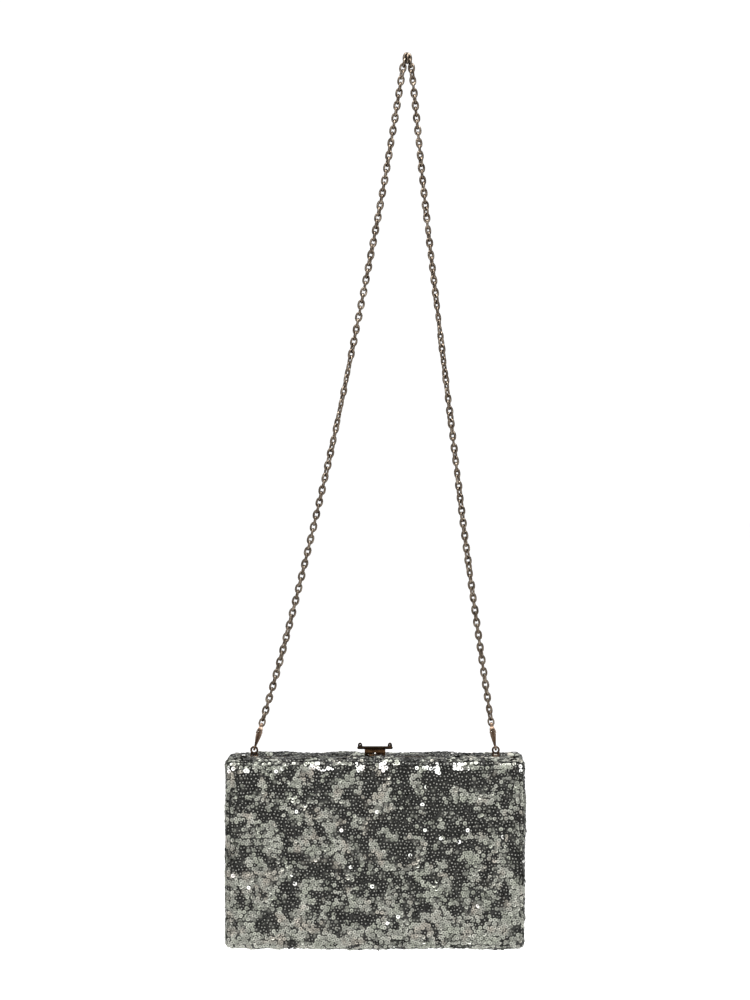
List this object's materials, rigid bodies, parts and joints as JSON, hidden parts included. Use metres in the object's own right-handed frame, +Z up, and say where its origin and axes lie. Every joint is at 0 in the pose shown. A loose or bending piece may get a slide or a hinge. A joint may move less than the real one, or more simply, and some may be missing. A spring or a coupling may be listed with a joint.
{
  "type": "evening bag",
  "caption": "Hard box evening bag covered in sequins, with a hinged front half, a thumb catch and a chain strap on snap hooks.",
  "frame": {"origin": "highest point of the chain strap, on the chain's middle, where the bag is hung", "axes": "+Z up, -Y out of the bag's front face, +X to the right as the front is seen"},
  "size_m": [0.2, 0.046, 0.601],
  "materials": {
    "sequin_cloth": "sequins in rows, dark and light in a meandering pattern",
    "board": "moulded board",
    "foam": "soft wadding",
    "lining_satin": "satin",
    "antique_brass": "antique, satin",
    "dark_bronze": "dark bronze, polished on the edges",
    "copper_bronze": "copper bronze, satin",
    "gunmetal_chain": "gunmetal plated, polished",
    "steel": "bright"
  },
  "bodies": {
    "strap": {"chain_strap": "gunmetal_chain", "left_end_ring": "gunmetal_chain", "left_snap_hook": "copper_bronze", "left_gate_pin": "steel", "left_gate_spring": "steel", "right_end_ring": "gunmetal_chain", "right_snap_hook": "copper_bronze", "right_gate_pin": "steel", "right_gate_spring": "steel"},
    "left_gate": {"left_gate": "copper_bronze"},
    "right_gate": {"right_gate": "copper_bronze"},
    "rear_half": {"rear_frame": "antique_brass", "rear_shell": "board", "rear_padding": "foam", "rear_cover": "sequin_cloth", "rear_lining": "lining_satin", "slip_pocket": "lining_satin", "latch_bracket": "antique_brass", "latch_pin": "steel", "latch_spring": "steel", "left_eyelet": "copper_bronze", "left_latch_screw": "steel", "left_rear_leaf": "antique_brass", "left_hinge_pin": "steel", "left_rear_rivet_a": "steel", "left_rear_rivet_b": "steel", "left_gusset": "lining_satin", "right_eyelet": "copper_bronze", "right_latch_screw": "steel", "right_rear_leaf": "antique_brass", "right_hinge_pin": "steel", "right_rear_rivet_a": "steel", "right_rear_rivet_b": "steel", "right_gusset": "lining_satin"},
    "front_half": {"front_frame": "antique_brass", "front_shell": "board", "front_padding": "foam", "front_cover": "sequin_cloth", "front_lining": "lining_satin", "catch_plate": "antique_brass", "left_catch_screw": "steel", "left_front_leaf": "antique_brass", "left_front_rivet_a": "steel", "left_front_rivet_b": "steel", "right_catch_screw": "steel", "right_front_leaf": "antique_brass", "right_front_rivet_a": "steel", "right_front_rivet_b": "steel"},
    "latch": {"latch_lever": "antique_brass", "thumb_bar": "dark_bronze"}
  },
  "joints": [
    {"name": "bag_swing", "type": "hinge", "parent": "strap", "child": "rear_half", "pos_m": [-0.0218, 0, -0.4671], "axis": [1, 0, 0], "range_deg": [-60, 60]},
    {"name": "front_opening", "type": "hinge", "parent": "rear_half", "child": "front_half", "pos_m": [-0.0218, -0.0018, -0.598], "axis": [1, 0, 0], "range_deg": [0, 65], "deforming": ["left_gusset", "right_gusset"]},
    {"name": "latch_tip", "type": "hinge", "parent": "rear_half", "child": "latch", "pos_m": [-0.0218, 0, -0.471], "axis": [-1, 0, 0], "range_deg": [0, 18], "stiffness_Nm_per_rad": 0.004, "springref_deg": -22.92},
    {"name": "left_gate_swing", "type": "hinge", "parent": "strap", "child": "left_gate", "pos_m": [-0.09972, -0.00245, -0.45673], "axis": [0.9598, 0, -0.2807], "range_deg": [0, 18], "stiffness_Nm_per_rad": 0.0005, "springref_deg": -22.92, "deforming": ["left_gate_spring"]},
    {"name": "right_gate_swing", "type": "hinge", "parent": "strap", "child": "right_gate", "pos_m": [0.05757, -0.00245, -0.45645], "axis": [0.986, 0, 0.1668], "range_deg": [0, 18], "stiffness_Nm_per_rad": 0.0005, "springref_deg": -22.92, "deforming": ["right_gate_spring"]}
  ]
}
